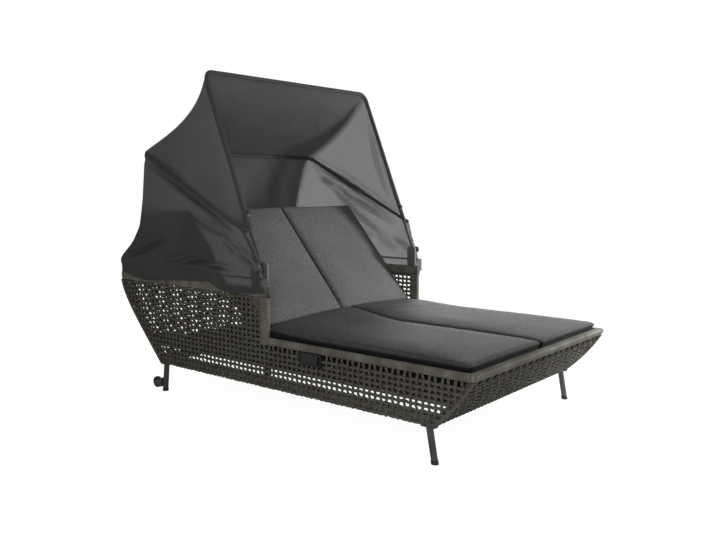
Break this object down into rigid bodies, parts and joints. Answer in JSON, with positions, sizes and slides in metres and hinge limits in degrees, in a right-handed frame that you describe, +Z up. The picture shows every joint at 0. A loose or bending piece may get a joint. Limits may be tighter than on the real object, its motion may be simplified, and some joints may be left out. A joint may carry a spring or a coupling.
{
  "type": "daybed with canopy",
  "caption": "Outdoor daybed with woven tray, loose seat cushions, reclining backrests and a folding cloth canopy over the head end, on splayed legs with transport wheels.",
  "frame": {"origin": "on the floor, under the middle of the daybed's overall box", "axes": "+Z up, +Y towards the head end under the canopy, X across the daybed"},
  "size_m": [1.2562, 2.224, 1.6045],
  "materials": {
    "wrapped_rim": "matte",
    "woven_rope": "matte",
    "coated_frame": "matte",
    "bare_steel": "satin",
    "black_plastic": "matte",
    "cushion_fabric": "matte",
    "canopy_cloth": "matte",
    "wheel_rubber": "matte"
  },
  "bodies": {
    "root": {"bottom_rail_front": "woven_rope", "bottom_rail_left": "woven_rope", "bottom_rail_rear": "woven_rope", "bottom_rail_right": "woven_rope", "canopy_hem_band": "canopy_cloth", "canopy_knob_left": "black_plastic", "canopy_knob_right": "black_plastic", "canopy_pivot_left": "coated_frame", "canopy_pivot_right": "coated_frame", "canopy_rear_cloth": "canopy_cloth", "corner_stile_front_left": "woven_rope", "corner_stile_front_right": "woven_rope", "corner_stile_rear_left": "woven_rope", "corner_stile_rear_right": "woven_rope", "deck_rail_left": "coated_frame", "deck_rail_right": "coated_frame", "front_panel": "woven_rope", "hinge_rail": "coated_frame", "hinge_rod": "bare_steel", "leg_front_left": "coated_frame", "leg_front_right": "coated_frame", "leg_rear_left": "coated_frame", "leg_rear_right": "coated_frame", "low_rim_front": "wrapped_rim", "low_rim_left": "wrapped_rim", "low_rim_right": "wrapped_rim", "rear_cross_tube": "coated_frame", "rear_panel": "woven_rope", "release_bezel_left": "black_plastic", "release_bezel_right": "black_plastic", "seat_cushion_left": "cushion_fabric", "seat_cushion_right": "cushion_fabric", "seat_deck": "coated_frame", "side_panel_low_left": "woven_rope", "side_panel_low_right": "woven_rope", "side_panel_tall_left": "woven_rope", "side_panel_tall_right": "woven_rope", "step_post_left": "wrapped_rim", "step_post_right": "wrapped_rim", "strut_tube_left": "black_plastic", "strut_tube_right": "black_plastic", "tall_rim_left": "wrapped_rim", "tall_rim_rear": "wrapped_rim", "tall_rim_right": "wrapped_rim", "wheel_fork_left": "coated_frame", "wheel_fork_right": "coated_frame"},
    "backrest_left": {"backrest_frame_left": "coated_frame", "back_cushion_left": "cushion_fabric"},
    "backrest_right": {"backrest_frame_right": "coated_frame", "back_cushion_right": "cushion_fabric"},
    "strut_rod_left": {"strut_rod_left": "bare_steel"},
    "strut_rod_right": {"strut_rod_right": "bare_steel"},
    "lever_left": {"release_flap_left": "black_plastic"},
    "lever_right": {"release_flap_right": "black_plastic"},
    "wheel_left": {"wheel_left": "wheel_rubber"},
    "wheel_right": {"wheel_right": "wheel_rubber"},
    "front_bow": {"canopy_front_bow": "coated_frame", "canopy_roof_cloth": "canopy_cloth"},
    "mid_bow": {"canopy_mid_bow": "coated_frame"}
  },
  "joints": [
    {"name": "backrest_left_recline", "type": "hinge", "parent": "root", "child": "backrest_left", "pos_m": [-0.3, 0.06, 0.3], "axis": [1, 0, 0], "range_deg": [-49.5, 5.5]},
    {"name": "strut_left_slide", "type": "slide", "parent": "root", "child": "strut_rod_left", "axis": [0, 1, 0], "range_m": [-0.068, 0.008]},
    {"name": "release_left_pull", "type": "hinge", "parent": "root", "child": "lever_left", "pos_m": [-0.5945, -0.236, 0.3177], "axis": [0, 0, 1], "range_deg": [-25, 0], "stiffness_Nm_per_rad": 0.05},
    {"name": "wheel_left_spin", "type": "hinge", "parent": "root", "child": "wheel_left", "pos_m": [-0.585, 0.82, 0.037], "axis": [1, 0, 0], "continuous": true},
    {"name": "backrest_right_recline", "type": "hinge", "parent": "root", "child": "backrest_right", "pos_m": [0.3, 0.06, 0.3], "axis": [1, 0, 0], "range_deg": [-49.5, 5.5]},
    {"name": "strut_right_slide", "type": "slide", "parent": "root", "child": "strut_rod_right", "axis": [0, 1, 0], "range_m": [-0.068, 0.008]},
    {"name": "release_right_pull", "type": "hinge", "parent": "root", "child": "lever_right", "pos_m": [0.5945, -0.236, 0.3177], "axis": [0, 0, 1], "range_deg": [0, 25], "stiffness_Nm_per_rad": 0.05},
    {"name": "wheel_right_spin", "type": "hinge", "parent": "root", "child": "wheel_right", "pos_m": [0.585, 0.82, 0.037], "axis": [1, 0, 0], "continuous": true},
    {"name": "canopy_front_fold", "type": "hinge", "parent": "root", "child": "front_bow", "pos_m": [0, 0.013, 0.7], "axis": [1, 0, 0], "range_deg": [-64, 0], "deforming": ["canopy_rear_cloth"]},
    {"name": "canopy_mid_fold", "type": "hinge", "parent": "front_bow", "child": "mid_bow", "pos_m": [0, 0.07884, 0.86214], "axis": [1, 0, 0], "range_deg": [0, 36.5], "deforming": ["canopy_roof_cloth"]}
  ],
  "couplings": [
    {"joint": "strut_left_slide", "follows": "backrest_left_recline", "m_per_rad": 0.07745},
    {"joint": "strut_right_slide", "follows": "backrest_right_recline", "m_per_rad": 0.07745},
    {"joint": "canopy_mid_fold", "follows": "canopy_front_fold", "ratio": -0.5656}
  ]
}
